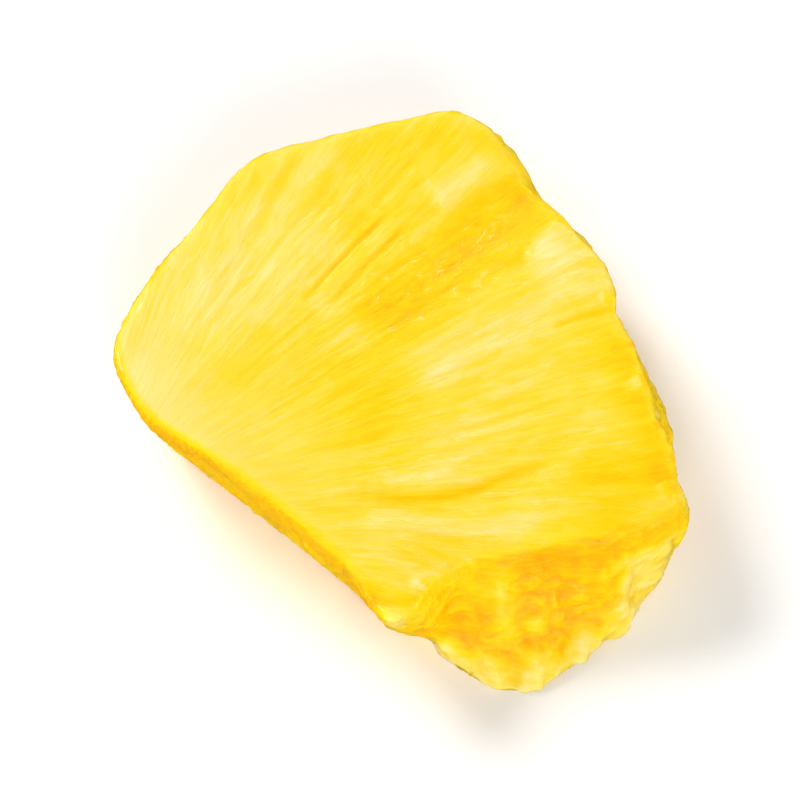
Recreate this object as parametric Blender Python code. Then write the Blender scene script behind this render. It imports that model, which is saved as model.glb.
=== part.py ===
"""A hand-cut chunk of peeled pineapple, lying on one flat cut with its fibrous cut face up.

It comes from a thick round of fruit. A straight cut freed it from the core, two more cuts made its
back corner, its front side tore along a fruitlet and flares into a ragged fringe, and its outer side
is the peeled, lumpy rim. The fibres fan out from the fruit's own axis, so every plan point below is
in millimetres from that axis. The finished mesh is in metres, +Z up, centred over the origin.
"""

import math

import bmesh
import bpy
from mathutils import Vector, noise

MM = 0.001

# Driving sizes, in millimetres.
THICKNESS = 13.0
FLESH_RADIUS = 50.0
EDGE_RADIUS = 1.0

# Outline of the upper face: plan points that each side's smooth curve runs through. The rim joins the
# torn side's last point to the back's. Its radii are at even steps of the angle between these two.
CORE_TOP = ((26.2, -9.2), (24.8, -8.4), (21.6, -3.7), (16.7, 1.0), (10.7, 6.0), (5.4, 9.9), (3.0, 13.9))
BACK_TOP = ((3.0, 13.9), (2.7, 17.5), (4.8, 22.3), (9.5, 29.8), (13.6, 35.3), (21.5, 38.2), (31.9, 40.8))
TORN_TOP = ((26.2, -9.2), (28.1, -6.9), (31.4, -3.2), (36.8, -1.9), (41.5, -1.0), (46.0, 0.6), (49.3, 2.5))
RIM_TOP_RADII = (48.9, 48.9, 50.3, 50.5)

# Outline of the base, side by side with the upper one.
CORE_BASE = ((26.8, -4.0), (21.8, 1.2), (16.1, 6.5), (10.6, 11.2), (5.6, 15.9))
BACK_BASE = ((5.6, 15.9), (5.0, 19.4), (10.8, 29.6), (14.4, 34.2), (22.0, 37.0), (30.6, 39.4))
TORN_BASE = ((26.8, -4.0), (29.2, -4.6), (32.2, -8.0), (36.2, -9.8), (40.2, -8.2), (44.6, -4.0), (49.0, 1.6))
RIM_BASE_RADII = (49.2, 49.2, 49.6)

# How quickly each side leaves the base's outline (1 is a straight wall, more is a foot that flares),
# and how far it bulges at mid height.
CORE_FLARE, BACK_FLARE, TORN_FLARE, RIM_FLARE = 1.0, 1.0, 1.9, 1.0
CORE_BULGE, BACK_BULGE, TORN_BULGE, RIM_BULGE = 0.2, 0.3, 0.2, 1.0

# The block that is bent into the chunk: its plan size, its segments along the fibres, across them and
# up its height, how far these crowd towards its edges, and the share of it that an edge's relief needs
# to fade in.
BLOCK_SIZE = 36.0
ALONG, ACROSS, UP = 40, 38, 12
CROWDING = 0.5
SIDE_SHARE, FOOT_SHARE, BRIM_SHARE = 0.08, 0.15, 0.15

# The upper face: broad waves, fibre streaks, and a roll over towards the torn side.
FACE_WAVE, FACE_WAVE_SIZE = 0.6, 13.0
STREAK, STREAK_WIDTH, STREAK_LENGTH = 0.22, 3.0, 14.0
STREAKS_FROM_RADIUS, STREAKS_FULL_RADIUS = 14.0, 32.0
ROLL, ROLL_SHARE, ROLL_START, ROLL_FULL = 1.3, 0.2, 0.05, 0.3
# Its creases: start, end, sideways bow, half width and depth.
CREASES = (
    ((17.6, 20.8), (25.4, 31.2), 0.5, 0.9, 0.3),
    ((20.8, 3.0), (40.2, 6.2), -2.0, 0.8, 0.6),
    ((30.5, 21.8), (38.6, 27.2), -0.6, 0.9, 0.4),
)
CREASE_FADE = 0.25
# Its juicy hollow near the rim: centre, half length along the fibres, half width and depth.
HOLLOW_CENTRE, HOLLOW_LENGTH, HOLLOW_WIDTH, HOLLOW_DEPTH = (33.0, 29.0), 12.0, 4.8, 0.9

# The sides: lumps and rows of eyes on the rim, upright lobes on the torn side, waves on the cut ones.
RIM_LUMP, RIM_LUMP_SIZE = 1.1, 6.8
EYE_ROWS = (0.28, 0.78)
EYE_SPACING_DEG, EYE_RADIUS, EYE_DEPTH = 15.5, 2.2, 1.1
LOBE, LOBES, LOBE_DRIFT, LOBE_LEFT_AT_TOP = 0.9, 5, 0.4, 0.3
SWELL, SWELL_SIZE = 0.7, 6.0
CUT_WAVE, CUT_WAVE_SIZE = 0.4, 8.0

FLESH_COLOUR = (1.0, 0.66, 0.06, 1.0)
FLESH_ROUGHNESS = 0.3


def smooth_step(low, high, value):
    """0 at low, 1 at high, and a smooth change between them."""
    t = min(max((value - low) / (high - low), 0.0), 1.0)
    return t * t * (3.0 - 2.0 * t)


def spline(values, t):
    """The Catmull-Rom curve through evenly spaced values, which are numbers or Vectors, at t in 0..1."""
    place = min(max(t, 0.0), 1.0) * (len(values) - 1)
    i = min(int(place), len(values) - 2)
    f = place - i
    before = values[i - 1] if i > 0 else values[i] * 2 - values[i + 1]
    after = values[i + 2] if i + 2 < len(values) else values[i + 1] * 2 - values[i]
    slope_a = (values[i + 1] - before) * 0.5
    slope_b = (after - values[i]) * 0.5
    step = values[i + 1] - values[i]
    bend = (step * 3 - slope_a * 2 - slope_b) * f * f + (slope_a + slope_b - step * 2) * f * f * f
    return values[i] + slope_a * f + bend


def plan_curve(points, pieces=160):
    """The smooth curve through plan points, as a function of t in 0..1 that runs at an even speed."""
    knots = [Vector(p) for p in points]
    fine = [spline(knots, i / pieces) for i in range(pieces + 1)]
    reach = [0.0]
    for a, b in zip(fine, fine[1:]):
        reach.append(reach[-1] + (b - a).length)

    def at(t):
        wanted = t * reach[-1]
        i = max(k for k in range(pieces) if reach[k] <= wanted)
        share = (wanted - reach[i]) / (reach[i + 1] - reach[i])
        return fine[i].lerp(fine[i + 1], min(share, 1.0))

    return at


def rim_curve(start, end, radii):
    """The peeled rim: it sweeps about the fruit's axis from one plan point to another."""
    first, last = (math.atan2(p[1], p[0]) for p in (start, end))
    radii = (math.hypot(*start), *radii, math.hypot(*end))

    def at(t):
        angle = first + (last - first) * t
        return Vector((math.cos(angle), math.sin(angle))) * spline(radii, t)

    return at


class Side:
    """One side of the chunk: a curve round the upper face, one round the base, and the wall between."""

    def __init__(self, top, base, flare, bulge, outward_sign):
        self.top, self.base = top, base
        self.flare, self.bulge, self.sign = flare, bulge, outward_sign

    def outward(self, t, reach=0.03):
        """The level direction out of the side at t, measured over a short reach to both sides."""
        along = self.top(min(t + reach, 1.0)) - self.top(max(t - reach, 0.0))
        return Vector((along.y, -along.x)).normalized() * self.sign

    def point(self, t, height):
        """The wall's plan point at t along the side. height is 0 at the base and 1 at the top."""
        lean = 1.0 - (1.0 - height) ** self.flare
        wall = self.base(t).lerp(self.top(t), lean)
        return wall + self.outward(t) * self.bulge * math.sin(math.pi * height)


CORE = Side(plan_curve(CORE_TOP), plan_curve(CORE_BASE), CORE_FLARE, CORE_BULGE, -1)
BACK = Side(plan_curve(BACK_TOP), plan_curve(BACK_BASE), BACK_FLARE, BACK_BULGE, -1)
TORN = Side(plan_curve(TORN_TOP), plan_curve(TORN_BASE), TORN_FLARE, TORN_BULGE, 1)
RIM = Side(
    rim_curve(TORN_TOP[-1], BACK_TOP[-1], RIM_TOP_RADII),
    rim_curve(TORN_BASE[-1], BACK_BASE[-1], RIM_BASE_RADII),
    RIM_FLARE,
    RIM_BULGE,
    1,
)


def plan_point(u, v, height):
    """Coons patch: u runs from the core cut to the rim, v from the torn side to the back cut."""
    across = CORE.point(v, height) * (1 - u) + RIM.point(v, height) * u
    along = TORN.point(u, height) * (1 - v) + BACK.point(u, height) * v
    front = TORN.point(0, height) * (1 - u) + TORN.point(1, height) * u
    rear = BACK.point(0, height) * (1 - u) + BACK.point(1, height) * u
    return across + along - front * (1 - v) - rear * v


def block_lattice():
    """A cube cut into ALONG x ACROSS x UP cells, as a bmesh whose coordinates run from -1 to 1."""
    bm = bmesh.new()
    bmesh.ops.create_cube(bm, size=2.0)
    for axis, cells in enumerate((ALONG, ACROSS, UP)):
        parallel = [e for e in bm.edges if abs((e.verts[1].co - e.verts[0].co)[axis]) > 1e-6]
        bmesh.ops.subdivide_edges(bm, edges=parallel, cuts=cells - 1, use_grid_fill=True)
    return bm


def crowded(t):
    """Moves evenly spaced places in -1..1 nearer to both ends, where the edges are rounded."""
    return t + (math.sin(math.pi / 2 * t) - t) * CROWDING


def rounded(place, sizes):
    """Takes a point of a box's surface to the same box with edges of EDGE_RADIUS."""
    inner = Vector(min(max(c, EDGE_RADIUS), s - EDGE_RADIUS) for c, s in zip(place, sizes))
    return inner + (place - inner).normalized() * EDGE_RADIUS


def groove(p, start, end, bow, half_width, depth):
    """Depth at plan point p of a crease that fades out at both of its ends."""
    start, end = Vector(start), Vector(end)
    along = end - start
    t = (p - start).dot(along) / along.length_squared
    bend = bow * math.sin(math.pi * min(max(t, 0.0), 1.0))
    across = (p - start).dot(Vector((-along.y, along.x)).normalized()) - bend
    fade = smooth_step(0.0, CREASE_FADE, t) * smooth_step(1.0, 1.0 - CREASE_FADE, t)
    return depth * fade * math.exp(-((across / half_width) ** 2))


def hollow(p):
    """Depth at plan point p of the juicy hollow, a long oval that lies along the fibres."""
    along = Vector(HOLLOW_CENTRE).normalized()
    d = p - Vector(HOLLOW_CENTRE)
    oval = (d.dot(along) / HOLLOW_LENGTH) ** 2 + (d.cross(along) / HOLLOW_WIDTH) ** 2
    return HOLLOW_DEPTH * math.exp(-1.5 * oval)


def streaks(p, z):
    """Long waves that run away from the fruit's axis. They die out towards the core."""
    radius, arc = p.length, math.atan2(p.y, p.x) * FLESH_RADIUS
    wave = noise.noise(Vector((radius / STREAK_LENGTH, arc / STREAK_WIDTH, z / STREAK_WIDTH)))
    return STREAK * wave * smooth_step(STREAKS_FROM_RADIUS, STREAKS_FULL_RADIUS, radius)


def face_relief(p, z, u, v):
    """Height of the upper face over its plane."""
    wave = noise.noise(Vector((p.x, p.y, z)) / FACE_WAVE_SIZE) * FACE_WAVE
    roll = ROLL * smooth_step(ROLL_SHARE, 0.0, v) * smooth_step(ROLL_START, ROLL_FULL, u)
    return wave + streaks(p, z) - roll - hollow(p) - sum(groove(p, *crease) for crease in CREASES)


def rim_relief(p, z):
    """The peeled rim: lumps left by the knife, and the hollows of the rows of eyes."""
    angle = math.atan2(p.y, p.x)
    place = Vector((angle * FLESH_RADIUS, z, 30.0)) / RIM_LUMP_SIZE
    relief = RIM_LUMP * (abs(noise.noise(place)) * 2.0 - 0.5)
    for row, height in enumerate(EYE_ROWS):
        nearest = round(math.degrees(angle) / EYE_SPACING_DEG - 0.5 * row) + 0.5 * row
        across = (angle - math.radians(nearest * EYE_SPACING_DEG)) * FLESH_RADIUS
        distance = math.hypot(across, z - height * THICKNESS)
        relief -= EYE_DEPTH * math.exp(-((distance / EYE_RADIUS) ** 2))
    return relief


def torn_relief(t, p, z):
    """The torn side: upright lobes that are deepest at its foot, over a softer swell."""
    swell = noise.noise(Vector((p.x, p.y, z * 0.6)) / SWELL_SIZE) * SWELL
    drift = noise.noise(Vector((t * 3.0, z / THICKNESS, 5.0))) * LOBE_DRIFT
    lobes = abs(math.sin(math.pi * (t * LOBES + drift))) - 0.5
    return swell + LOBE * lobes * (1.0 - (1.0 - LOBE_LEFT_AT_TOP) * z / THICKNESS)


def cut_relief(p, z):
    """A side that a knife made: slight waves."""
    return noise.noise(Vector((p.x, p.y, z + 40.0)) / CUT_WAVE_SIZE) * CUT_WAVE


def shaped(u, v, height):
    """The chunk's surface, in mm, for a place on the rounded block."""
    plan = plan_point(u, v, height)
    z = height * THICKNESS
    # Each relief belongs to one side and fades out at that side's edges.
    shift = TORN.outward(u) * torn_relief(u, plan, z) * smooth_step(SIDE_SHARE, 0.0, v)
    shift += RIM.outward(v) * rim_relief(plan, z) * smooth_step(1.0 - SIDE_SHARE, 1.0, u)
    shift += CORE.outward(v) * cut_relief(plan, z) * smooth_step(SIDE_SHARE, 0.0, u)
    shift += BACK.outward(u) * cut_relief(plan, z) * smooth_step(1.0 - SIDE_SHARE, 1.0, v)
    off_edges = smooth_step(0.0, FOOT_SHARE, height) * smooth_step(1.0 + BRIM_SHARE, 1.0 - BRIM_SHARE, height)
    plan += shift * off_edges
    z += face_relief(plan, z, u, v) * smooth_step(0.5, 1.0, height) ** 2
    return Vector((plan.x, plan.y, z))


def shape_lattice(bm):
    """Bends the block lattice into the chunk."""
    sizes = Vector((BLOCK_SIZE, BLOCK_SIZE, THICKNESS))
    for vert in bm.verts:
        share = Vector((crowded(c) + 1.0) / 2.0 for c in vert.co)
        place = rounded(Vector(s * m for s, m in zip(share, sizes)), sizes)
        vert.co = shaped(*(c / s for c, s in zip(place, sizes)))


def centre_over_origin(bm):
    """Puts the middle of the plan box over the origin and the base at height 0, in metres."""
    low, high = (Vector(f(v.co[i] for v in bm.verts) for i in range(3)) for f in (min, max))
    middle = Vector(((low.x + high.x) / 2, (low.y + high.y) / 2, low.z))
    for vert in bm.verts:
        vert.co = (vert.co - middle) * MM


def flesh_material():
    material = bpy.data.materials.new("pineapple_flesh")
    material.use_nodes = True
    shader = material.node_tree.nodes["Principled BSDF"]
    shader.inputs["Base Color"].default_value = FLESH_COLOUR
    shader.inputs["Roughness"].default_value = FLESH_ROUGHNESS
    shader.inputs["Metallic"].default_value = 0.0
    return material


def main():
    for obj in list(bpy.data.objects):
        bpy.data.objects.remove(obj)
    bm = block_lattice()
    shape_lattice(bm)
    centre_over_origin(bm)
    mesh = bpy.data.meshes.new("pineapple_chunk")
    bm.to_mesh(mesh)
    bm.free()
    mesh.shade_smooth()
    mesh.materials.append(flesh_material())
    chunk = bpy.data.objects.new("pineapple_chunk", mesh)
    fruit = bpy.data.collections.new("pineapple")
    bpy.context.scene.collection.children.link(fruit)
    fruit.objects.link(chunk)


main()
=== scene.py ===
import itertools
import math
from collections import namedtuple

import bmesh
import bpy
import numpy as np
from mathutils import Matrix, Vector


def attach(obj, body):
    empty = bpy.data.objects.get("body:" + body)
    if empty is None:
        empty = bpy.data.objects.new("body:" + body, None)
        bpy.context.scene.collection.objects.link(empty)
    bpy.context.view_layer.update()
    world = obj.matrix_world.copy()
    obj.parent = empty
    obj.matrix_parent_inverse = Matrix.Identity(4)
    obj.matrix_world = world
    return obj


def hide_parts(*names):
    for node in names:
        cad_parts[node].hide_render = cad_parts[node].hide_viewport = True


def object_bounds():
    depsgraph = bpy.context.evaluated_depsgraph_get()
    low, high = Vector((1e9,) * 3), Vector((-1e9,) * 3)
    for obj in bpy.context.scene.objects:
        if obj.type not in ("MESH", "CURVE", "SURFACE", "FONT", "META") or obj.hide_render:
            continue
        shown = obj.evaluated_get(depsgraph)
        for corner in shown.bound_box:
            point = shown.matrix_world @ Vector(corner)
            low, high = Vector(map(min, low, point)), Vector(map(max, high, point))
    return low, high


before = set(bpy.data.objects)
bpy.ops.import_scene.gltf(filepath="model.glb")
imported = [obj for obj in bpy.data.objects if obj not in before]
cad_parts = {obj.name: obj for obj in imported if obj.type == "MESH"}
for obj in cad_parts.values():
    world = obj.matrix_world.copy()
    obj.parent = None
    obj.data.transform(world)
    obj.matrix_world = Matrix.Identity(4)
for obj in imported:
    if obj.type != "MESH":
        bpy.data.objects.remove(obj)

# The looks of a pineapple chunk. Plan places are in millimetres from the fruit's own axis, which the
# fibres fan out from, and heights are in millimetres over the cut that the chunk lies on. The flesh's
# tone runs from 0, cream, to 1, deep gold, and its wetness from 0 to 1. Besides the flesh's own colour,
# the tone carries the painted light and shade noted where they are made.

MM = 0.001
CAD_LOW, CAD_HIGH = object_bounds()

# Where the fruit's axis stands in the frame, and the radius at which fibre space has its true width.
FRUIT_AXIS = np.array((-26.517, -15.624, 0.0))
MID_RADIUS = 40.0

# The skin that the reliefs are carved in: the width of its grid, and the rounds in which it is evened
# out all over, which takes the solid's facets off, and at the torn side's brow, the crease, the edge on
# the core's side, the torn side's cracks and the lip of the tip. Every second round all over swells the
# skin again, by SWELLING. The last two are the rounds that even out colours and that find bulges.
GRID = 0.25
SMOOTHING_ROUNDS, SWELLING = 24, 0.53
BROW_ROUNDS = 40
CREASE_ROUNDS = 20
CORE_EDGE_ROUNDS = 8
CRACK_ROUNDS = 10
LIP_ROUNDS = 6
COLOUR_ROUNDS = 5
BULGE_ROUNDS = 8

# Noise, with a fixed seed so that every run is the same, what takes its waves to about -1 and 1, and a
# distance that is further than any spot.
DICE = np.random.default_rng(20)
SHUFFLE = DICE.permutation(256)
DIRECTIONS = DICE.normal(size=(256, 3))
DIRECTIONS /= np.linalg.norm(DIRECTIONS, axis=1, keepdims=True)
SPOTS = DICE.random((256, 3))
WAVE_GAIN = 1.7
FAR_AWAY = 9.0

# Streaks are taller than wide, and wind by so many millimetres in waves of these sizes.
STREAK_HEIGHT = 1.5
WINDING, WINDING_SIZES = 0.5, (14.0, 9.0, 9.0)

# Juice sacs: the scale and the weight of the large and the small ones, how wide the seams between them
# are, and how much a wide and a fine noise bend them.
SAC_SCALES = ((1.0, 0.6), (0.55, 0.4))
SEAM_WIDTH = 0.6
WIDE_BEND, FINE_BEND = 0.7, 0.3


def hashed(cell):
    """A number from 0 to 255 for each lattice cell."""
    x, y, z = (cell[:, i] for i in range(3))
    return SHUFFLE[(SHUFFLE[(SHUFFLE[x & 255] + y) & 255] + z) & 255]


def waves(points):
    """Smooth noise between about -1 and 1, whose waves are about 2 long."""
    cell = np.floor(points).astype(int)
    f = points - cell
    fade = f**3 * (f * (f * 6.0 - 15.0) + 10.0)
    total = np.zeros(len(points))
    for corner in itertools.product((0, 1), repeat=3):
        corner = np.array(corner)
        slope = ((f - corner) * DIRECTIONS[hashed(cell + corner)]).sum(axis=1)
        total += slope * np.prod(np.where(corner, fade, 1.0 - fade), axis=1)
    return total * WAVE_GAIN


def cells(points):
    """Distances to the nearest and the second nearest of scattered spots, about 1 apart."""
    cell = np.floor(points).astype(int)
    near = np.full(len(points), FAR_AWAY)
    second = near.copy()
    for step in itertools.product((-1, 0, 1), repeat=3):
        there = cell + np.array(step)
        distance = np.linalg.norm(there + SPOTS[hashed(there)] - points, axis=1)
        second = np.minimum(second, np.maximum(near, distance))
        near = np.minimum(near, distance)
    return near, second


def ramp(low, high, value):
    """0 at low, 1 at high, and a smooth change between them."""
    t = np.clip((value - low) / (high - low), 0.0, 1.0)
    return t * t * (3.0 - 2.0 * t)


def bump(value, half_width, power=2.0):
    """1 at 0, about a third at the half width and 0 well beyond it. A higher power has a flatter top and
    steeper sides."""
    return np.exp(-np.abs(value / half_width) ** power)


class Surface:
    """The chunk's surface as arrays: plan places, heights, normals and places in fibre space."""

    def __init__(self, mesh):
        self.count = len(mesh.vertices)
        self.mesh = mesh
        co = np.empty(self.count * 3)
        mesh.vertices.foreach_get("co", co)
        self.co = co.reshape(-1, 3) / MM
        edges = np.empty(len(mesh.edges) * 2, int)
        mesh.edges.foreach_get("vertices", edges)
        edges = edges.reshape(-1, 2)
        self.ends, self.others = np.concatenate((edges, edges[:, ::-1])).T
        self.neighbours = np.bincount(self.ends, minlength=self.count)
        self.read()

    def averaged(self, co):
        """The middle of each vertex's neighbours."""
        sums = [np.bincount(self.ends, co[self.others, axis], self.count) for axis in range(3)]
        return (np.array(sums) / self.neighbours).T

    def relax(self, rounds, share, swelling=0.0):
        """Takes each vertex half the way to the middle of its neighbours, where the share is 1. With some
        swelling, each second round swells the surface again, which keeps its size."""
        for i in range(rounds):
            step = -swelling if swelling and i % 2 else 0.5
            self.co += (self.averaged(self.co) - self.co) * step * share[:, None]
        self.read()

    def spread(self, values, rounds, share):
        """The values, evened out over each vertex's neighbours where the share is above 0."""
        for _ in range(rounds):
            mean = np.bincount(self.ends, values[self.others], self.count) / self.neighbours
            values = values + (mean - values) * share
        return values

    def bulge(self, rounds=BULGE_ROUNDS):
        """How far each vertex stands out of the evened surface, in millimetres."""
        even = self.co
        for _ in range(rounds):
            even = self.averaged(even)
        return ((self.co - even) * self.normal).sum(axis=1)

    def read(self):
        """Writes the vertices to the mesh and works out everything that the reliefs read."""
        self.mesh.vertices.foreach_set("co", (self.co * MM).ravel())
        self.mesh.update()
        normals = np.empty(self.count * 3)
        self.mesh.vertices.foreach_get("normal", normals)
        self.normal = normals.reshape(-1, 3)
        self.x, self.y, self.z = (self.co - FRUIT_AXIS).T
        self.radius = np.hypot(self.x, self.y)
        self.angle = np.arctan2(self.y, self.x)

    def grid(self, along, across, up):
        """Places in fibre space, where 1 is that many millimetres along the fibres, across them at the mid
        radius, and up."""
        return np.stack((self.radius / along, self.angle * MID_RADIUS / across, self.z / up), axis=1)

    def fibres(self, width, length, shift=0.0):
        """Noise in streaks along the fibres, which wind a little. Each shift gives other streaks."""
        place = self.grid(length, width, width * STREAK_HEIGHT) + shift
        place[:, 1] += waves(self.grid(*WINDING_SIZES)) * WINDING / width
        return waves(place)

    def plain(self, size, shift=0.0):
        """Noise in round blotches."""
        return waves((self.co - FRUIT_AXIS) / size + shift)

    def drawn_out(self, x_size, y_size, z_size, shift=0.0):
        """Noise in blotches of those sizes along plan x, plan y and the height."""
        return waves(np.stack((self.x / x_size, self.y / y_size, self.z / z_size), axis=1) + shift)

    def sacs(self, along, across):
        """The juice sacs, large ones and smaller: 1 in the middle of each and 0 in the seams between."""
        wide_bend = self.plain(size=4.0, shift=9.1)[:, None] * WIDE_BEND
        fine_bend = self.plain(size=1.6, shift=1.1)[:, None] * FINE_BEND
        total = 0.0
        for scale, weight in SAC_SCALES:
            place = self.grid(along * scale, across * scale, across * scale)
            near, second = cells(place + wide_bend + fine_bend)
            total += weight * ramp(0.0, SEAM_WIDTH, second - near)
        return total

    def near_line(self, points, half_width, end_fade=0.2, power=2.0):
        """1 on the smooth curve through plan points and 0 well beyond its half width. It fades over a share
        of its length at both ends."""
        knots = np.array(smooth_curve(points))
        legs = np.diff(knots, axis=0)
        lengths = np.linalg.norm(legs, axis=1)
        starts = np.concatenate(([0.0], np.cumsum(lengths)))
        here = np.stack((self.x, self.y), axis=1)
        best, place = np.full(self.count, np.inf), np.zeros(self.count)
        for knot, leg, length, start in zip(knots, legs, lengths, starts):
            t = np.clip(((here - knot) @ leg) / length**2, 0.0, 1.0)
            distance = np.linalg.norm(here - knot - t[:, None] * leg, axis=1)
            closer = distance < best
            best = np.where(closer, distance, best)
            place = np.where(closer, start + t * length, place)
        share = place / starts[-1]
        ends = ramp(0.0, end_fade, share) * ramp(1.0, 1.0 - end_fade, share)
        return bump(best, half_width, power) * ends


def smooth_curve(points, pieces=8):
    """Plan points along the Catmull-Rom curve through a few plan points."""
    knots = [np.array(p, float) for p in points]
    knots = [knots[0] * 2 - knots[1], *knots, knots[-1] * 2 - knots[-2]]
    curve = []
    for a, b, c, d in zip(knots, knots[1:], knots[2:], knots[3:]):
        for t in np.arange(pieces) / pieces:
            bend = (2 * a - 5 * b + 4 * c - d) * t**2 + (3 * b - a - 3 * c + d) * t**3
            curve.append(0.5 * (2 * b + (c - a) * t + bend))
    return curve + [knots[-2]]


# Marks on the upper face: the plan points of each one's curve, its half width, its change of tone and its
# relief in millimetres. Some changes of tone are painted shade or painted highlights, as noted at each.
Mark = namedtuple("Mark", "points half_width tone relief", defaults=(0.0,))
FACE_MARKS = {
    "ridge": Mark(((28.4, 31.0), (32.4, 33.3), (36.4, 35.0)), 1.6, -0.22, 0.3),
    "pale corner": Mark(((37.2, 27.2), (39.6, 25.4), (41.6, 20.6)), 2.4, -0.3, 0.2),
    "pale streak": Mark(((26.6, 12.8), (31.0, 15.6), (35.6, 18.5), (41.0, 21.0)), 1.8, -0.22, 0.06),
    "long pale streak": Mark(
        ((11.6, 15.6), (15.6, 19.9), (18.2, 22.5), (21.1, 25.9), (23.9, 29.7)), 1.2, -0.14
    ),
    "short pale streak": Mark(((19.0, 19.2), (21.6, 21.2), (24.2, 22.8)), 1.2, -0.14),
    "pale middle": Mark(((26.6, 5.2), (29.8, 6.9), (32.8, 9.8), (36.0, 12.4), (40.6, 13.8)), 2.4, -0.13),
    "pale rim side": Mark(((42.6, 6.6), (43.0, 11.0), (41.8, 14.4)), 2.2, -0.08),
    "pale top": Mark(((16.4, 33.2), (19.4, 34.6), (22.4, 35.2)), 1.8, -0.14),
    "pale shoulder": Mark(((1.0, 10.0), (7.0, 17.0), (13.0, 23.0), (20.0, 32.0)), 4.5, -0.2),
    "gold brow": Mark(((22.0, 37.0), (28.0, 37.6), (33.0, 37.0)), 2.6, 0.12),
    "upper streak": Mark(((20.6, 26.1), (23.5, 30.1), (26.4, 33.1), (29.0, 36.1)), 1.8, 0.1),
    "gold patch": Mark(((14.2, 25.0), (15.6, 27.2), (17.2, 29.8)), 2.0, 0.08),
    "brow's shade": Mark(((31.8, -2.6), (36.2, -2.8), (39.5, -1.9), (42.8, -0.6), (45.8, 0.9)), 1.4, 0.25),
    "rim's gold": Mark(
        ((44.0, 19.8), (44.7, 16.2), (45.6, 13.3), (47.0, 9.5), (47.9, 5.7), (48.3, 1.6)), 1.9, 0.34
    ),
    "upper rim's gold": Mark(((31.8, 38.6), (35.0, 36.2), (36.4, 33.2), (37.8, 29.8)), 1.6, 0.26),
    # Three real lumps at the rim's edge, each with a painted highlight where it catches the light.
    "upper lump with painted highlight": Mark(((43.5, 21.9), (44.3, 20.7)), 0.7, -0.3, 0.2),
    "middle lump with painted highlight": Mark(((45.6, 13.6), (46.3, 12.3)), 0.8, -0.4, 0.25),
    "lower lump with painted highlight": Mark(((48.0, 4.4), (48.6, 3.0)), 0.8, -0.3, 0.2),
    "smudge": Mark(((22.3, 16.8), (23.6, 13.0), (24.0, 9.7), (24.8, 6.8)), 3.4, 0.2),
    "left smudge": Mark(((11.4, 13.0), (13.4, 15.6), (15.2, 19.4)), 2.4, 0.15),
    "low corner": Mark(((40.4, 6.4), (44.0, 4.4), (46.8, 2.4)), 3.1, 0.2),
    # A painted highlight: the pale band along the crease's lower side.
    "painted highlight below the crease": Mark(((22.0, 0.4), (26.4, 0.2), (31.0, -0.2), (36.0, 0.4), (38.7, 3.0)), 1.4, -0.2),
    # The crease is a real groove, and its deeper gold is painted shade.
    "crease": Mark(
        ((23.6, 2.7), (26.4, 2.5), (28.6, 2.6), (31.7, 3.1), (34.0, 4.1), (36.6, 5.2), (39.8, 5.9)),
        0.45,
        0.1,
        -0.17,
    ),
    "lip of the crease": Mark(((24.6, 4.2), (28.2, 4.3), (31.4, 5.2)), 0.9, -0.14),
    # A faint crease and two slits: real grooves, and their deeper gold is painted shade.
    "faint crease": Mark(((38.8, 18.2), (42.0, 19.4), (45.4, 20.4)), 0.45, 0.12, -0.16),
    "first slit": Mark(((18.0, 20.4), (21.6, 25.4), (26.0, 30.6)), 0.32, 0.1, -0.26),
    "second slit": Mark(((20.2, 20.0), (23.6, 24.6), (27.4, 29.2)), 0.3, 0.08, -0.2),
    "tip's hollow": Mark(
        ((23.6, -5.4), (25.2, -7.0), (26.6, -7.3), (28.2, -6.8), (29.4, -5.6)), 1.0, 0.3, -0.3
    ),
    "tip's edge": Mark(((24.2, -8.2), (26.2, -9.0), (28.4, -8.4)), 1.0, -0.2),
    # A small real rise near the tip, with a painted highlight on it.
    "tip's painted highlight": Mark(((27.0, -5.7), (28.6, -4.9), (30.2, -4.0)), 0.6, -0.25, 0.15),
}

# The wet hollow of open sacs, a smaller and shallower patch of them, and the brow over the torn side.
HOLLOW = ((22.0, 18.0), (25.4, 20.6), (29.8, 24.6), (34.2, 28.6), (39.0, 33.0))
HOLLOW_HALF_WIDTH = 3.5
LOW_SACS = ((33.5, 4.4), (37.4, 3.6), (42.4, 2.6))
LOW_SACS_HALF_WIDTH, LOW_SACS_SHARE = 2.0, 0.6
BROW = ((28.5, -6.2), (31.4, -3.2), (36.8, -1.9), (41.5, -1.0), (46.0, 0.6), (49.3, 2.5))
BROW_HALF_WIDTH = 2.2

# The edge between the upper face and the core's side, and the brink just outside it, which gets painted
# shade, a deeper gold.
CORE_EDGE = ((25.0, -8.4), (21.8, -3.9), (16.8, 0.9), (10.8, 5.9), (5.6, 9.8), (3.2, 13.6), (2.9, 17.0))
CORE_EDGE_HALF_WIDTH = 1.6
BRINK_HALF_WIDTH, BRINK_SHADE_TONE = 2.5, 0.98

# How near the crease the skin is rounded off.
CREASE_REACH = 1.6

# The pale lip at the end of the tip.
LIP_PLACE, LIP_RADIUS, LIP_TONE = (26.0, -8.6), 1.4, 0.26

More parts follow.
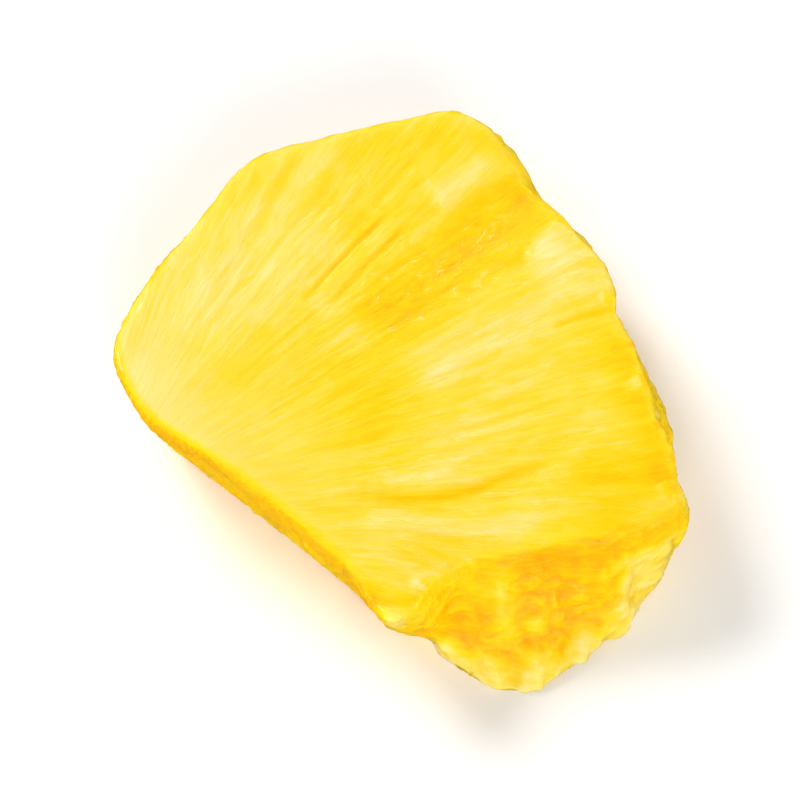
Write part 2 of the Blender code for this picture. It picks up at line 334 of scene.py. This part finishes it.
# Where things begin, as the two values between which they go from nothing to their whole. X and Y are
# plan places, Z is the height, and a slope is the upward part of the surface's normal.
FACE_Z, BROW_Z, BRINK_Z, LIP_Z = (8.0, 10.5), (6.0, 9.0), (7.0, 9.0), (6.5, 8.5)
TORN_X, TORN_Y = (25.0, 27.5), (4.0, 1.0)
THIN_FOOT_X, THIN_FOOT_Y, THIN_FOOT_Z = (26.0, 29.0), (3.0, 1.0), (3.0, 1.0)
TIP_Y, TIP_Z = (-5.5, -7.5), (8.0, 10.0)
FACE_SLOPE, BASE_SLOPE, BRINK_SLOPE = (0.45, 0.85), (0.6, 0.9), (0.93, 0.74)
RIM_RADII, RIM_FACING = (40.0, 45.0), (0.5, 0.8)
FANNED_RADII, OUTER_RADII, BASE_RADII = (12.0, 30.0), (7.0, 22.0), (9.0, 25.0)

# How little of the torn side's thin foot and of the tip is evened out with the rest.
SPARED = 0.9

# The upper face's border is ragged, and it reaches over the rounded edge at the rim by this much slope.
RAGGED_BORDER, OVER_RIM, OVER_RIM_RADII = 0.15, 0.25, (34.0, 44.0)

# The torn side looks this way in plan, and takes in what looks within these of it.
TORN_DIRECTION, TORN_FACING = (0.4, -0.9), (-0.4, 0.1)

# The torn side, as places along plan x and height: an upright fold, which leans and wanders, a pale
# blob, pale lobes from one x on, the pale left end of the brow, its shade further right, the groove over
# the foot, and the foot itself with the middles of the fringe's petals.
FOLD_X, FOLD_HALF_WIDTH = 34.6, 1.1
FOLD_LEAN, FOLD_LEAN_HEIGHT, FOLD_WANDER = 0.12, 8.0, 0.3
FOLD_LOW_Z, FOLD_HIGH_Z = (2.5, 4.5), (11.0, 8.5)
BLOB_X, BLOB_HEIGHT, BLOB_RADIUS = 37.7, 4.6, 0.9
LOBES_X, LOBES_FADE, LOBES_Z = 43.9, 1.2, (10.0, 7.5)
LEFT_BROW_X, LEFT_BROW_Z, LEFT_BROW_WANDER = (37.0, 31.0), (6.0, 10.0), 1.5
BROW_SHADE_HEIGHT, BROW_SHADE_HALF_WIDTH = 10.2, 2.0
BROW_SHADE_LEFT_X, BROW_SHADE_RIGHT_X = (31.5, 35.0), (46.5, 43.0)
GROOVE_HEIGHT, GROOVE_HALF_WIDTH = 4.0, 1.0
FOOT_Z, SOLE_Z, PALE_FOOT_Z = (3.4, 0.6), (1.2, 0.2), (3.9, 1.8)
PETALS_X, PETAL_HALF_WIDTH, PETAL_WANDER = (30.4, 33.8, 37.9, 41.6, 45.4), 1.5, 0.3
PETAL_RISE, STRAND_RISE = 1.6, 0.4
PETAL_FLARE, STRAND_FLARE = 0.7, 0.15
PALE_FOOT, PALE_LOBES = 0.65, 0.62

# What stands out gets painted light, paler, and what lies deep gets painted shade, more golden: the
# relief that is enough for the whole change, the two changes, and how much less of them the torn side
# takes. The edges between the cuts stand out by more, in bulge heights, and get painted shade, a deeper
# gold, against the light that they catch. Cracks in the torn side, as deep as CRACK_DEPTHS bulge
# heights, are filled a little.
BULGE_HEIGHT, PAINTED_LIGHT_OUT, PAINTED_SHADE_IN, TORN_EVENNESS = 0.08, 0.1, 0.16, 0.4
EDGE_BULGES, EDGE_SHADE_TONE = (0.9, 1.5), 0.4
CRACK_DEPTHS = (1.0, 2.0)

# A pattern on the surface, with the relief in millimetres, the change of tone and the change of wetness
# that it gives where it is 1.
Layer = namedtuple("Layer", "pattern relief tone wet", defaults=(0.0, 0.0, 0.0))


def rough_surface():
    """The CAD solid as one even, fine skin."""
    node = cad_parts["pineapple_chunk"]
    bm = bmesh.new()
    bm.from_mesh(node.data)
    bmesh.ops.remove_doubles(bm, verts=bm.verts, dist=1e-6)
    mesh = bpy.data.meshes.new("chunk_cage")
    bm.to_mesh(mesh)
    bm.free()
    cage = bpy.data.objects.new("chunk_cage", mesh)
    bpy.context.scene.collection.objects.link(cage)
    remesh = cage.modifiers.new("even_grid", "REMESH")
    remesh.mode = "VOXEL"
    remesh.voxel_size = GRID * MM
    fine = bpy.data.meshes.new_from_object(cage.evaluated_get(bpy.context.evaluated_depsgraph_get()))
    bpy.data.objects.remove(cage)
    fine.name = "pineapple_flesh"
    return fine


def smooth(s):
    """Takes the solid's facets off, but spares the torn side's thin foot and the tip. Then rounds off the
    brow, the crease and the edge on the core's side."""
    thin_foot = ramp(*THIN_FOOT_Z, s.z) * ramp(*THIN_FOOT_Y, s.y) * ramp(*THIN_FOOT_X, s.x)
    tip = ramp(*TIP_Y, s.y) * ramp(*TIP_Z, s.z)
    s.relax(SMOOTHING_ROUNDS, 1.0 - np.maximum(thin_foot, tip) * SPARED, SWELLING)
    brow = s.near_line(BROW, BROW_HALF_WIDTH, end_fade=0.1)
    s.relax(BROW_ROUNDS, brow * ramp(*BROW_Z, s.z))
    crease = s.near_line(FACE_MARKS["crease"].points, CREASE_REACH, end_fade=0.05)
    s.relax(CREASE_ROUNDS, crease * ramp(*FACE_Z, s.z))
    core_edge = s.near_line(CORE_EDGE, CORE_EDGE_HALF_WIDTH, end_fade=0.1)
    s.relax(CORE_EDGE_ROUNDS, core_edge * ramp(*FACE_Z, s.z))


def laid(layers, tone, wet):
    """The relief, the tone and the wetness that layers give on flesh of a tone and a wetness."""
    relief = sum(layer.pattern * layer.relief for layer in layers)
    tone = tone + sum(layer.pattern * layer.tone for layer in layers)
    wet = wet + sum(layer.pattern * layer.wet for layer in layers)
    return relief, tone, wet


def face_zone(s):
    """The upper face: streaks along the fibres, the marks above and open sacs."""
    fanned = ramp(*FANNED_RADII, s.radius)
    hollow = s.near_line(HOLLOW, HOLLOW_HALF_WIDTH, end_fade=0.15, power=3.0)
    low_sacs = s.near_line(LOW_SACS, LOW_SACS_HALF_WIDTH, end_fade=0.3)
    opened = np.maximum(hollow, low_sacs * LOW_SACS_SHARE)
    unevenness = 0.7 + 0.4 * s.plain(size=2.2, shift=5.5)
    sacs = (s.sacs(along=2.8, across=1.5) - 0.45) * unevenness
    layers = [
        Layer(s.plain(size=5.0, shift=2.2), relief=0.12),
        Layer(fanned * s.fibres(width=1.6, length=13.0), relief=0.09),
        Layer(fanned * s.fibres(width=0.75, length=9.0, shift=7.3), relief=0.04),
        Layer(opened * sacs, relief=0.21, tone=0.1),
        Layer(ramp(*OUTER_RADII, s.radius), tone=0.26),
        Layer(s.plain(size=7.0, shift=6.1), tone=0.05),
        Layer(fanned * s.fibres(width=2.4, length=12.0, shift=5.2), tone=0.09),
        Layer(fanned * s.fibres(width=1.0, length=8.0, shift=1.7), tone=0.05),
        Layer(hollow, tone=0.35),
        Layer(s.plain(size=5.0, shift=3.7), wet=0.15),
        Layer(opened, wet=0.2),
    ]
    for mark in FACE_MARKS.values():
        layers.append(Layer(s.near_line(mark.points, mark.half_width), mark.relief, mark.tone))
    return laid(layers, tone=0.17, wet=0.3)


def torn_zone(s):
    """The torn side: broad upright folds, sacs, loose strands and a pale foot of ragged petals."""
    folds = s.drawn_out(x_size=3.6, y_size=12.0, z_size=14.0, shift=3.3)
    strands = s.drawn_out(x_size=0.8, y_size=4.0, z_size=5.0)
    lumps = s.plain(size=1.5, shift=4.1)
    sacs = s.sacs(along=3.0, across=1.7) - 0.5
    fold_x = FOLD_X + (FOLD_LEAN_HEIGHT - s.z) * FOLD_LEAN + folds * FOLD_WANDER
    fold = bump(s.x - fold_x, FOLD_HALF_WIDTH) * ramp(*FOLD_LOW_Z, s.z) * ramp(*FOLD_HIGH_Z, s.z)
    blob = bump(np.hypot(s.x - BLOB_X, s.z - BLOB_HEIGHT), BLOB_RADIUS)
    lobes = ramp(LOBES_X - LOBES_FADE, LOBES_X + LOBES_FADE, s.x + lumps) * ramp(*LOBES_Z, s.z + lumps)
    petals = sum(bump(s.x + lumps * PETAL_WANDER - x, PETAL_HALF_WIDTH) for x in PETALS_X)
    foot = ramp(*FOOT_Z, s.z) * ((petals - 1.0) * PETAL_FLARE + strands * STRAND_FLARE)
    pale_foot = ramp(*PALE_FOOT_Z, s.z + (1.0 - petals) * PETAL_RISE + strands * STRAND_RISE)
    left_brow = ramp(*LEFT_BROW_Z, s.z + lumps * LEFT_BROW_WANDER) * ramp(*LEFT_BROW_X, s.x + lumps)
    brow_shade = bump(s.z - BROW_SHADE_HEIGHT, BROW_SHADE_HALF_WIDTH)
    brow_shade *= ramp(*BROW_SHADE_LEFT_X, s.x) * ramp(*BROW_SHADE_RIGHT_X, s.x)
    layers = (
        Layer(folds, relief=0.5, tone=0.05),
        Layer(fold, relief=0.5, tone=-0.4),
        Layer(blob, relief=0.3, tone=-0.3),
        Layer(lumps, relief=0.18, tone=-0.06),
        Layer(sacs, relief=0.2, tone=-0.06),
        Layer(bump(s.z - GROOVE_HEIGHT, GROOVE_HALF_WIDTH), relief=-0.25),
        Layer(foot, relief=1.0),
        Layer(lobes, relief=0.25),
        Layer(strands, relief=0.06),
        Layer(left_brow, tone=-0.25),
        Layer(brow_shade, tone=0.15),
        Layer(np.maximum(pale_foot * PALE_FOOT, lobes * PALE_LOBES), tone=-1.0),
        Layer(ramp(*SOLE_Z, s.z), tone=-0.08),
        Layer(pale_foot, wet=-0.2),
    )
    return laid(layers, tone=0.91, wet=0.55)


def rim_zone(s):
    """The peeled rim: golden lumps with pale crowns, partly mottling and partly painted reflection."""
    lumps = s.plain(size=3.4, shift=7.7)
    mottling = s.plain(size=1.3, shift=2.9) * 0.45
    layers = (
        Layer(lumps, relief=0.3),
        # The lumps' pale crowns: partly the rim's own mottling, partly a painted reflection on their tops.
        Layer(ramp(0.0, 0.4, lumps + mottling), tone=-0.45),
        Layer(s.sacs(along=2.4, across=1.8) - 0.5, relief=0.24, tone=-0.06),
        Layer(s.plain(size=0.7, shift=1.4), relief=0.05),
    )
    return laid(layers, tone=0.9, wet=0.7)


def cut_zone(s):
    """The sides that a knife made: golden, with faint streaks along the fibres and their pale ends."""
    mottling = s.plain(size=1.7, shift=2.7) * 0.4
    middles = cells(s.grid(along=6.0, across=2.2, up=2.2) + 4.7)[0]
    layers = (
        Layer(s.plain(size=5.0, shift=2.2), relief=0.2),
        Layer(s.fibres(width=0.9, length=7.0, shift=3.1), relief=0.1, tone=0.06),
        Layer(s.sacs(along=3.2, across=1.5) - 0.5, relief=0.16, tone=-0.06),
        Layer(s.plain(size=0.8, shift=1.4), relief=0.06),
        Layer(bump(middles, half_width=0.16), relief=0.05, tone=-0.2),
        Layer(s.fibres(width=2.0, length=12.0, shift=5.2), tone=0.08),
        Layer(ramp(-0.1, 0.5, s.plain(size=4.5, shift=6.1) + mottling), tone=-0.2),
        Layer(s.plain(size=4.0, shift=8.8), wet=0.2),
    )
    # The base tone is the sides' own gold, deepened by painted shade.
    return laid(layers, tone=0.98, wet=0.35)


def base_zone(s):
    """The hidden cut that the chunk lies on, which stays flat."""
    layers = (
        Layer(ramp(*BASE_RADII, s.radius), tone=0.3),
        Layer(s.fibres(width=1.6, length=12.0, shift=2.3), tone=0.1),
    )
    return laid(layers, tone=0.2, wet=0.4)


def zone_shares(s):
    """How much of each vertex belongs to the upper face, the base, the torn side, the rim and the cuts."""
    n_x, n_y, n_z = s.normal.T
    torn_side = ramp(*TORN_Y, s.y) * ramp(*TORN_X, s.x)
    over_rim = (1.0 - torn_side) * ramp(*OVER_RIM_RADII, s.radius) * OVER_RIM
    slope = n_z + s.plain(size=1.6, shift=3.3) * RAGGED_BORDER + over_rim
    face = ramp(*FACE_SLOPE, slope) * ramp(*FACE_Z, s.z)
    base = ramp(*BASE_SLOPE, -n_z)
    side = (1.0 - face) * (1.0 - base)
    torn = side * torn_side * ramp(*TORN_FACING, n_x * TORN_DIRECTION[0] + n_y * TORN_DIRECTION[1])
    outward = (n_x * s.x + n_y * s.y) / s.radius
    rim = (side - torn).clip(0.0) * ramp(*RIM_FACING, outward) * ramp(*RIM_RADII, s.radius)
    cut = (side - torn - rim).clip(0.0)
    return face, base, torn, rim, cut


def brink_painted_shade(s):
    """1 where the brink's painted shade goes: just outside the edge on the core's side, where it turns
    over.
    """
    slope = s.spread(s.normal[:, 2], COLOUR_ROUNDS, np.ones(s.count))
    line = s.near_line(CORE_EDGE, BRINK_HALF_WIDTH, end_fade=0.02, power=4.0)
    return ramp(*BRINK_SLOPE, slope) * line * ramp(*BRINK_Z, s.z)


def carve(s):
    """Adds each zone's relief to the surface, and returns the flesh's tone and wetness at each vertex."""
    shares = zone_shares(s)
    base, torn, rim = shares[1:4]
    brink_shade = brink_painted_shade(s)
    relief, tone, wet = np.zeros((3, s.count))
    for share, zone in zip(shares, (face_zone, base_zone, torn_zone, rim_zone, cut_zone)):
        zone_relief, zone_tone, zone_wet = zone(s)
        relief += share * zone_relief
        tone += share * zone_tone
        wet += share * zone_wet
    s.co += s.normal * relief[:, None]
    s.co = np.clip(s.co, np.array(CAD_LOW) / MM, np.array(CAD_HIGH) / MM)
    lip = bump(np.hypot(s.x - LIP_PLACE[0], s.y - LIP_PLACE[1]), LIP_RADIUS, power=3.0) * ramp(*LIP_Z, s.z)
    s.relax(LIP_ROUNDS, lip)
    s.relax(CRACK_ROUNDS, torn * ramp(*CRACK_DEPTHS, -s.bulge() / BULGE_HEIGHT))
    bulge = s.bulge() / BULGE_HEIGHT
    # Painted shade on the edges, and elsewhere painted light on what stands out and painted shade in
    # hollows.
    edge = ramp(*EDGE_BULGES, bulge) * (1.0 - torn) * (1.0 - rim)
    painted_relief_shading = np.clip(bulge, -1.0, 1.0) * (1.0 - base) * (1.0 - edge) * (1.0 - torn * TORN_EVENNESS)
    tone += edge * EDGE_SHADE_TONE - painted_relief_shading * np.where(painted_relief_shading > 0.0, PAINTED_LIGHT_OUT, PAINTED_SHADE_IN)
    # Painted shade on the brink: its tone goes up to a deep gold.
    tone += brink_shade * (BRINK_SHADE_TONE - tone).clip(0.0)
    tone += lip * (LIP_TONE - tone)
    soft = s.near_line(BROW, BROW_HALF_WIDTH, end_fade=0.1)
    soft += s.near_line(CORE_EDGE, CORE_EDGE_HALF_WIDTH, end_fade=0.05)
    tone = s.spread(tone, COLOUR_ROUNDS, soft.clip(0.0, 1.0) * ramp(*FACE_Z, s.z))
    return {"tone": tone, "wet": wet}


def add_attributes(mesh, attributes):
    """Stores each array as a number at each vertex, for the material to read."""
    for name, values in attributes.items():
        layer = mesh.attributes.new(name, "FLOAT", "POINT")
        layer.data.foreach_set("value", values.astype(np.float32))


class Graph:
    """Short calls that add nodes to a material or to the world."""

    def __init__(self, owner):
        self.tree = owner.node_tree
        self.nodes = self.tree.nodes

    def put(self, socket, value):
        """Links an output to the socket, or sets the socket to a plain value."""
        if isinstance(value, bpy.types.NodeSocket):
            self.tree.links.new(value, socket)
        else:
            socket.default_value = value

    def add(self, kind, *values, **settings):
        """A node with these settings, whose first inputs take these values."""
        node = self.nodes.new("ShaderNode" + kind)
        for name, value in settings.items():
            setattr(node, name, value)
        for socket, value in zip(node.inputs, values):
            self.put(socket, value)
        return node

    def math(self, operation, *values):
        return self.add("Math", *values, operation=operation).outputs[0]

    def vector(self, operation, *values):
        return self.add("VectorMath", *values, operation=operation).outputs[0]

    def times(self, value, factor):
        return self.math("MULTIPLY", value, factor)

    def sum(self, first, *others):
        for other in others:
            first = self.math("ADD", first, other)
        return first

    def remap(self, value, low, high, to_low=0.0, to_high=1.0):
        """A smooth change from one number to another as the value goes from low to high."""
        node = self.add("MapRange", value, low, high, to_low, to_high, interpolation_type="SMOOTHSTEP")
        return node.outputs[0]

    def noise(self, place, scale, detail=2.0, roughness=0.5):
        node = self.add("TexNoise")
        inputs = {"Vector": place, "Scale": scale, "Detail": detail, "Roughness": roughness}
        for name, value in inputs.items():
            self.put(node.inputs[name], value)
        return node.outputs["Fac"]

    def cells(self, place, scale):
        """Scattered cells: the distance from each one's middle, and a number of its own."""
        node = self.add("TexVoronoi")
        self.put(node.inputs["Vector"], place)
        self.put(node.inputs["Scale"], scale)
        return node.outputs["Distance"], self.add("SeparateColor", node.outputs["Color"]).outputs[0]

    def ramp(self, value, stops):
        """A colour ramp over the values from 0 to the last stop's."""
        full = stops[-1][0]
        node = self.add("ValToRGB", self.math("DIVIDE", value, full))
        elements = node.color_ramp.elements
        while len(elements) < len(stops):
            elements.new(0.5)
        for element, (place, colour) in zip(elements, stops):
            element.position, element.color = place / full, (*colour, 1.0)
        return node.outputs[0]

    def attribute(self, name):
        return self.add("Attribute", attribute_name=name).outputs["Fac"]


# The flesh's colour over its tone.
TONES = (
    (0.0, (0.98, 0.765, 0.32)),
    (0.18, (0.98, 0.705, 0.17)),
    (0.36, (0.97, 0.665, 0.06)),
    (0.52, (0.96, 0.635, 0.016)),
    (0.66, (0.95, 0.61, 0.002)),
    (0.84, (0.95, 0.55, 0.0)),
    (1.0, (0.93, 0.48, 0.0)),
    (1.25, (0.89, 0.36, 0.0)),
)

# Each 1 of the material's fibre space is this many millimetres long, and 1 mm wide and high.
FIBRE_LENGTH = 8.0

# The values that nearly all of a noise lies between.
NOISE_RANGE = (0.3, 0.7)

# The radii, in millimetres, and the shares between which the fibres' tones come in.
TONED_RADII, TONED_SHARES = (8.0, 28.0), (0.35, 1.0)

# How rough the flesh is between its grains, how much smoother it is where it is wet, and the share of
# the water's coat there.
DRY_ROUGHNESS, WET_SMOOTHING, WET_COAT = (0.34, 0.5), 0.16, 0.7


def fibre_space(g):
    """The object's own coordinates, fibre space and the radius from the fruit's axis in metres."""
    own = g.add("TexCoord").outputs["Object"]
    from_axis = g.vector("SUBTRACT", own, tuple(FRUIT_AXIS * MM))
    x, y, z = g.add("SeparateXYZ", from_axis).outputs
    radius = g.math("SQRT", g.math("ADD", g.times(x, x), g.times(y, y)))
    along = g.times(radius, 1.0 / (FIBRE_LENGTH * MM))
    across = g.times(g.math("ARCTAN2", y, x), MID_RADIUS)
    up = g.times(z, 1.0 / MM)
    return own, g.add("CombineXYZ", along, across, up).outputs[0], radius


def flesh_material():
    """Wet, translucent flesh. The mesh's attributes give its tone and wetness, and the nodes add fibres of
    two widths, pale threads, the pulp's small sacs between them, and grain."""
    material = bpy.data.materials.new("pineapple_flesh")
    material.use_nodes = True
    g = Graph(material)
    shader = g.nodes["Principled BSDF"]
    own, fan, radius = fibre_space(g)
    wet = g.attribute("wet")

    fibres = g.noise(fan, scale=1.3, detail=3.0, roughness=0.6)
    fine_fibres = g.noise(fan, scale=3.8, detail=3.0, roughness=0.6)
    thread_waves = g.noise(g.vector("MULTIPLY", fan, (0.35, 1.0, 0.7)), scale=0.9, detail=1.0)
    from_thread = g.math("ABSOLUTE", g.math("SUBTRACT", thread_waves, 0.5))
    threads = g.remap(from_thread, low=0.02, high=0.0)
    from_middle, sac_number = g.cells(g.vector("MULTIPLY", fan, (5.0, 1.3, 1.3)), scale=1.0)
    grains = g.noise(own, scale=1400.0, detail=2.0, roughness=0.6)

    fibre_tone = g.remap(fibres, *NOISE_RANGE, to_low=0.07, to_high=-0.07)
    fine_tone = g.remap(fine_fibres, *NOISE_RANGE, to_low=0.05, to_high=-0.05)
    sac_tone = g.remap(sac_number, 0.0, 1.0, to_low=-0.05, to_high=0.05)
    thread_tone = g.times(threads, -0.1)
    toned = g.remap(radius, *(limit * MM for limit in TONED_RADII), *TONED_SHARES)
    streaks = g.times(g.sum(fibre_tone, fine_tone), toned)
    pulp = g.times(g.sum(sac_tone, thread_tone), toned)
    tone = g.sum(g.attribute("tone"), streaks, pulp)
    g.put(shader.inputs["Base Color"], g.ramp(tone, TONES))

    dry = g.remap(grains, *NOISE_RANGE, *DRY_ROUGHNESS)
    g.put(shader.inputs["Roughness"], g.math("SUBTRACT", dry, g.times(wet, WET_SMOOTHING)))
    g.put(shader.inputs["Coat Weight"], g.times(wet, WET_COAT))
    shader.inputs["Coat Roughness"].default_value = 0.12
    shader.inputs["IOR"].default_value = 1.38
    shader.inputs["Specular IOR Level"].default_value = 0.2
    shader.inputs["Subsurface Weight"].default_value = 0.75
    shader.inputs["Subsurface Radius"].default_value = (1.0, 0.93, 0.4)
    shader.inputs["Subsurface Scale"].default_value = 1.2 * MM

    relief = g.add("Bump")
    relief.inputs["Strength"].default_value = 0.6
    relief.inputs["Distance"].default_value = 0.13 * MM
    shares = ((fine_fibres, 0.6), (grains, 0.25), (threads, 0.3), (from_middle, -0.4))
    g.put(relief.inputs["Height"], g.sum(*(g.times(pattern, share) for pattern, share in shares)))
    g.put(shader.inputs["Normal"], relief.outputs[0])
    return material


def make_chunk():
    """The chunk that the render shows: one fine mesh in the place of the plain solid."""
    mesh = rough_surface()
    surface = Surface(mesh)
    smooth(surface)
    add_attributes(mesh, carve(surface))
    mesh.materials.clear()
    mesh.materials.append(flesh_material())
    mesh.shade_smooth()
    chunk = bpy.data.objects.new("chunk_flesh", mesh)
    bpy.context.scene.collection.objects.link(chunk)
    return chunk


# The stage, in metres: the floor, and the soft lights with each one's place, size, power and whether the
# wet flesh reflects it.
FLOOR_SIZE, FLOOR_COLOUR = 6.0, (0.95, 0.95, 0.95)
SOFT_LIGHTS = {
    "key": ((-0.45, 0.35, 0.6), 0.35, 4.4, True),
    "fill": ((0.15, -0.7, 0.45), 0.5, 4.4, False),
    "low_back_fill": ((0.6, 0.5, 0.16), 0.25, 2.2, False),
    "low_left_fill": ((-0.7, -0.1, 0.16), 0.25, 0.9, False),
}


def make_floor():
    """A plain white floor, which the wet flesh doesn't reflect."""
    bpy.ops.mesh.primitive_plane_add(size=FLOOR_SIZE)
    floor = bpy.context.object
    floor.name = "floor"
    material = bpy.data.materials.new("pale_floor")
    material.use_nodes = True
    shader = material.node_tree.nodes["Principled BSDF"]
    shader.inputs["Base Color"].default_value = (*FLOOR_COLOUR, 1.0)
    shader.inputs["Roughness"].default_value = 0.6
    floor.data.materials.append(material)
    floor.visible_glossy = False


def area_light(name, place, size, power):
    """A round light that faces the chunk."""
    data = bpy.data.lights.new(name, "AREA")
    data.shape, data.size, data.energy = "DISK", size, power
    light = bpy.data.objects.new(name, data)
    light.location = place
    light.rotation_euler = Vector(place).to_track_quat("Z", "Y").to_euler()
    bpy.context.scene.collection.objects.link(light)
    return light


# Small lights all round that only make the wet flesh glint. The first is turned by a part of the step
# between two of them.
GLINTS, GLINT_TURN = 5, 0.3
GLINT_DISTANCE, GLINT_ELEVATION = 0.75, math.radians(42.0)
GLINT_SIZE, GLINT_POWER = 0.06, 0.11

# How bright the studio's walls are, by the height of the direction: brightest at the horizon.
WALLS = ((0.0, 0.05), (0.03, 1.0), (0.2, 0.9), (0.6, 0.28), (1.0, 0.25))


def make_studio():
    """Pale walls all round, the soft lights and the glints."""
    world = bpy.data.worlds.new("studio")
    world.use_nodes = True
    g = Graph(world)
    height = g.add("SeparateXYZ", g.add("TexCoord").outputs["Generated"]).outputs["Z"]
    walls = [(place, (level,) * 3) for place, level in WALLS]
    g.put(g.nodes["Background"].inputs["Color"], g.ramp(height, walls))
    bpy.context.scene.world = world
    bpy.context.scene.view_settings.view_transform = "Standard"
    for name, (place, size, power, reflected) in SOFT_LIGHTS.items():
        area_light(name, place, size, power).visible_glossy = reflected
    level = GLINT_DISTANCE * math.cos(GLINT_ELEVATION)
    up = GLINT_DISTANCE * math.sin(GLINT_ELEVATION)
    for i in range(GLINTS):
        turn = math.tau * (i + GLINT_TURN) / GLINTS
        place = (level * math.cos(turn), level * math.sin(turn), up)
        area_light(f"glint_{i}", place, GLINT_SIZE, GLINT_POWER).visible_diffuse = False


# The camera: its lens and sensor in millimetres, how steeply it looks down, the width that it takes in
# where it aims, and that place.
LENS, SENSOR_WIDTH = 200.0, 36.0
CAMERA_ELEVATION = math.radians(60.0)
VIEW_WIDTH = 67.0 * MM
CAMERA_AIM = Vector((0.0, -0.001, 0.0075))


def make_camera():
    data = bpy.data.cameras.new("camera")
    data.lens, data.sensor_width = LENS, SENSOR_WIDTH
    camera = bpy.data.objects.new("camera", data)
    distance = VIEW_WIDTH * LENS / SENSOR_WIDTH
    to_camera = Vector((0.0, -math.cos(CAMERA_ELEVATION), math.sin(CAMERA_ELEVATION)))
    camera.location = CAMERA_AIM + to_camera * distance
    camera.rotation_euler = (CAMERA_AIM - camera.location).to_track_quat("-Z", "Y").to_euler()
    bpy.context.scene.collection.objects.link(camera)
    bpy.context.scene.camera = camera


chunk = make_chunk()
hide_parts("pineapple_chunk")
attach(chunk, "root")
make_floor()
make_studio()
make_camera()
